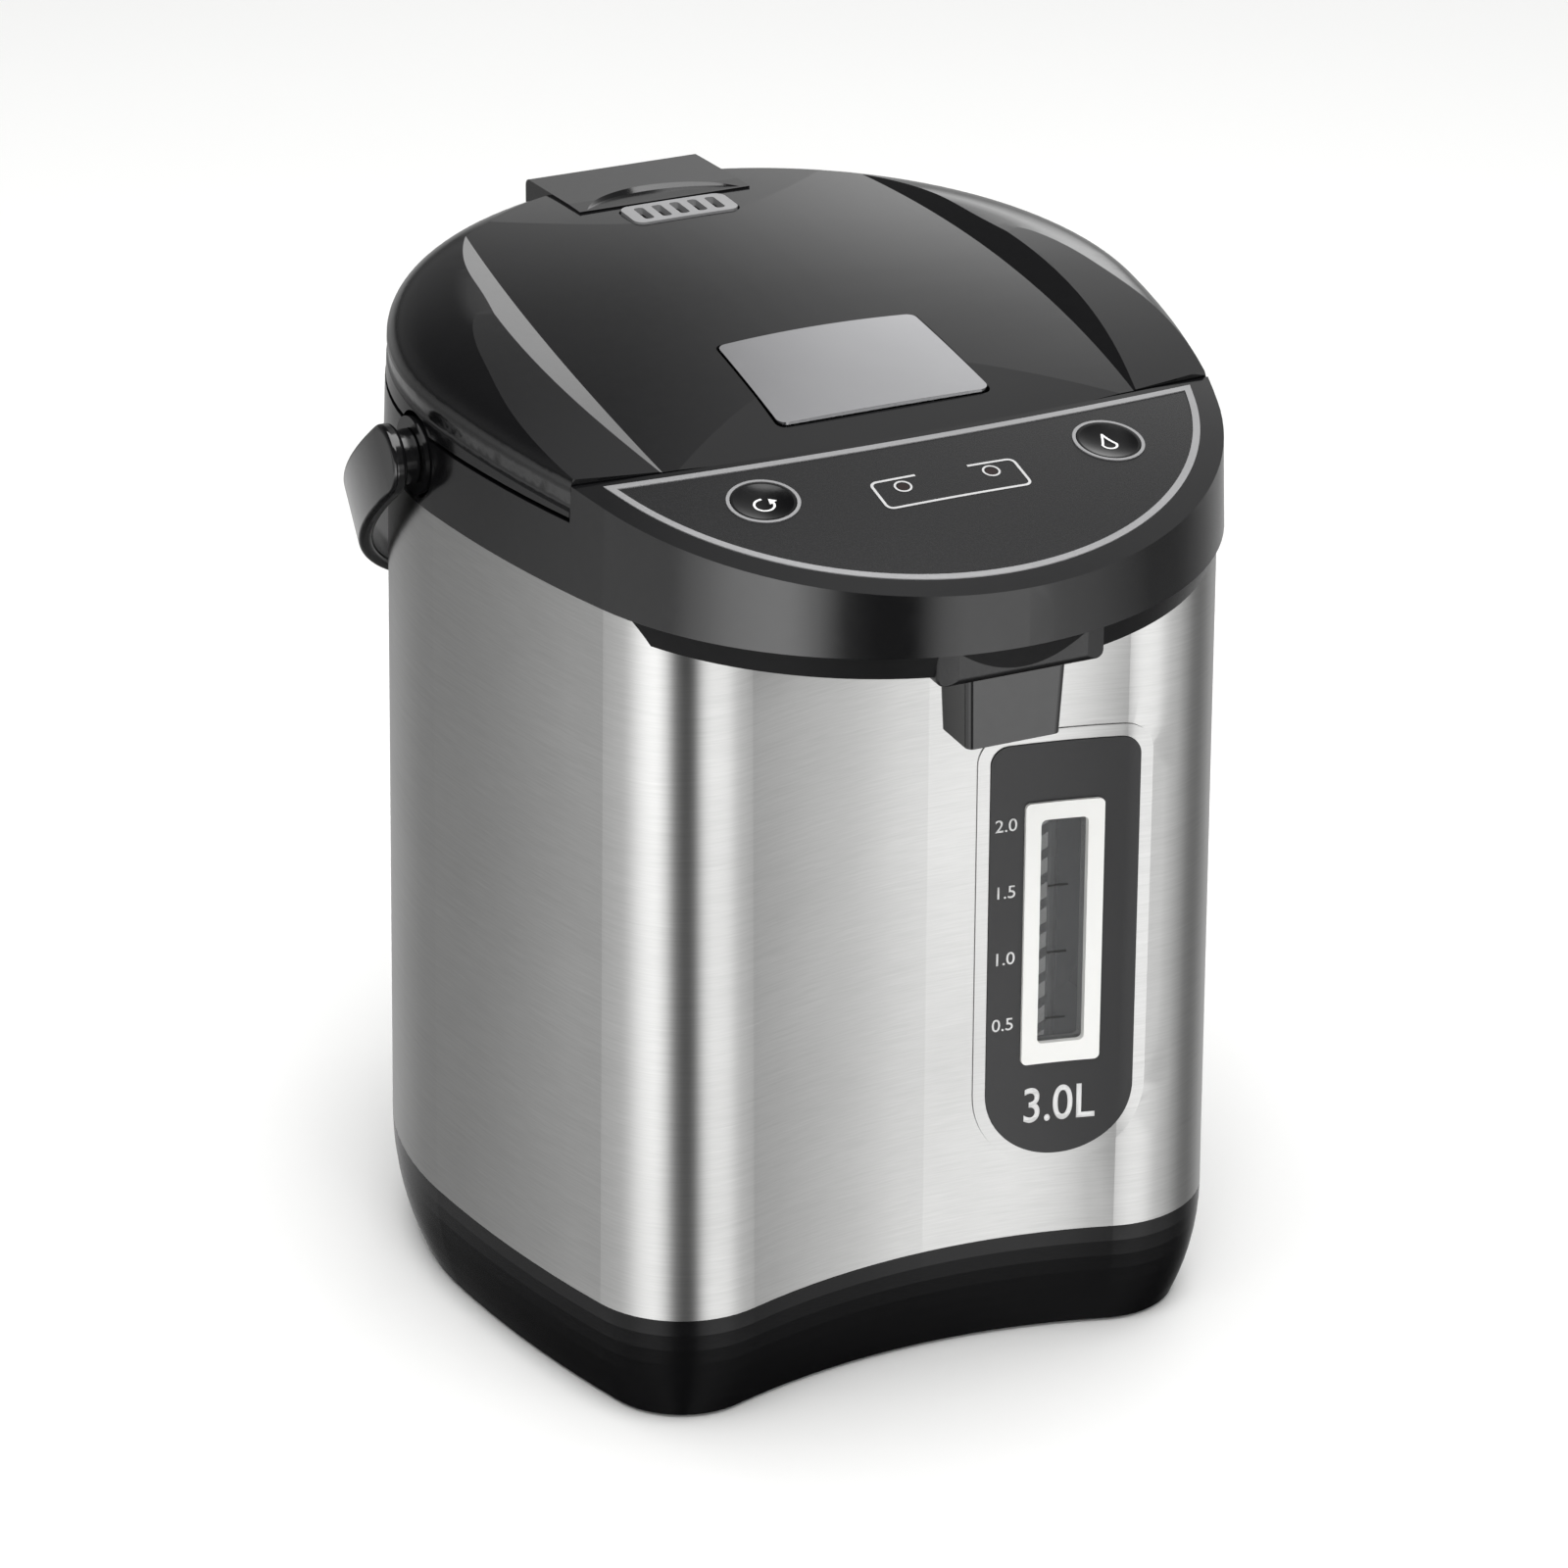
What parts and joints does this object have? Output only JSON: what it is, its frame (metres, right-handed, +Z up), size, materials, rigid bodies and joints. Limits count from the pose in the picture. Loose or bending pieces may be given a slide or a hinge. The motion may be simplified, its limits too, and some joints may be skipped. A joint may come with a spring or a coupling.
{
  "type": "electric thermo pot",
  "caption": "Electric thermo pot with steel body, hollow front under a dispensing spout, hinged domed lid, bail handle and level window.",
  "frame": {"origin": "on the table, under the centre of the round back of the body", "axes": "+Z up, the spout and control panel face -Y, +X is the side with the level window"},
  "size_m": [0.2272, 0.273, 0.2788],
  "materials": {
    "black_plastic": "glossy",
    "base_plastic": "glossy",
    "satin_plastic": "satin",
    "panel_film": "glossy",
    "steel_skin": "brushed",
    "pot_steel": "satin",
    "bright_chrome": "polished",
    "silver_plastic": "satin",
    "strip_film": "satin",
    "white_frame": "satin",
    "clear_lens": "polished",
    "tube_glass": "polished",
    "lamp_lens": "polished",
    "scale_print": "matt",
    "black_rubber": "matt",
    "silicone": "matt",
    "aluminium": "cast",
    "zinc_screw": "plated",
    "brass_pin": "plated",
    "board_green": "satin",
    "galvanised": "galvanised",
    "grey_plastic": "matt"
  },
  "bodies": {
    "body": {"base_skirt": "base_plastic", "bottom_cover": "satin_plastic", "rubber_feet": "black_rubber", "base_screws": "zinc_screw", "power_inlet": "satin_plastic", "inlet_pins": "brass_pin", "power_board": "board_green", "outer_shell": "steel_skin", "level_panel": "strip_film", "window_frame": "white_frame", "window_lens": "clear_lens", "level_scale": "scale_print", "inner_pot": "pot_steel", "pot_strainer": "pot_steel", "pot_carrier": "galvanised", "heater_plate": "aluminium", "heating_element": "pot_steel", "thermostats": "grey_plastic", "heat_shield": "galvanised", "pump_housing": "grey_plastic", "pump_motor": "galvanised", "motor_mount": "black_rubber", "suction_hose": "silicone", "delivery_hose": "silicone", "level_tube": "tube_glass", "outlet_pipe": "silicone", "head_collar": "black_plastic", "panel_trim": "silver_plastic", "control_panel": "panel_film", "reboil_ring": "silver_plastic", "dispense_ring": "silver_plastic", "indicator_lenses": "lamp_lens", "indicator_leds": "lamp_lens", "control_board": "board_green", "tact_switches": "grey_plastic", "button_springs": "zinc_screw", "underside_cover": "satin_plastic", "spout_nozzle": "black_plastic", "pot_gasket": "silicone", "hinge_pin": "zinc_screw", "hinge_bracket": "satin_plastic", "handle_pivots": "black_plastic"},
    "lid": {"lid_cover": "black_plastic", "lid_liner": "pot_steel", "lid_screws": "zinc_screw", "lid_gasket": "silicone", "vent_grille": "satin_plastic", "steam_duct": "grey_plastic", "latch_pin": "zinc_screw", "latch_springs": "zinc_screw"},
    "latch": {"latch_plate": "bright_chrome", "latch_lever": "satin_plastic"},
    "handle": {"handle": "black_plastic"},
    "reboil_key": {"reboil_button": "satin_plastic"},
    "dispense_key": {"dispense_button": "satin_plastic"},
    "impeller": {"pump_impeller": "grey_plastic"}
  },
  "joints": [
    {"name": "lid_hinge", "type": "hinge", "parent": "body", "child": "lid", "pos_m": [0, 0.1015, 0.2635], "axis": [-1, 0, 0], "range_deg": [0, 85]},
    {"name": "latch_rocker", "type": "hinge", "parent": "lid", "child": "latch", "pos_m": [0, -0.038, 0.2665], "axis": [1, 0, 0], "range_deg": [0, 8], "stiffness_Nm_per_rad": 0.08, "springref_deg": -20.05, "deforming": ["latch_springs"]},
    {"name": "handle_swing", "type": "hinge", "parent": "body", "child": "handle", "pos_m": [0, 0, 0.247], "axis": [1, 0, 0], "range_deg": [0, 135]},
    {"name": "reboil_press", "type": "slide", "parent": "body", "child": "reboil_key", "axis": [0.0426, 0.1996, -0.979], "range_m": [0, 0.001], "stiffness_N_per_m": 200, "springref_m": -0.002, "deforming": ["button_springs"]},
    {"name": "dispense_press", "type": "slide", "parent": "body", "child": "dispense_key", "axis": [-0.0426, 0.1996, -0.979], "range_m": [0, 0.001], "stiffness_N_per_m": 200, "springref_m": -0.002, "deforming": ["button_springs"]},
    {"name": "impeller_spin", "type": "hinge", "parent": "body", "child": "impeller", "pos_m": [0.014, -0.05, 0.055], "axis": [0, 0, 1], "continuous": true}
  ]
}
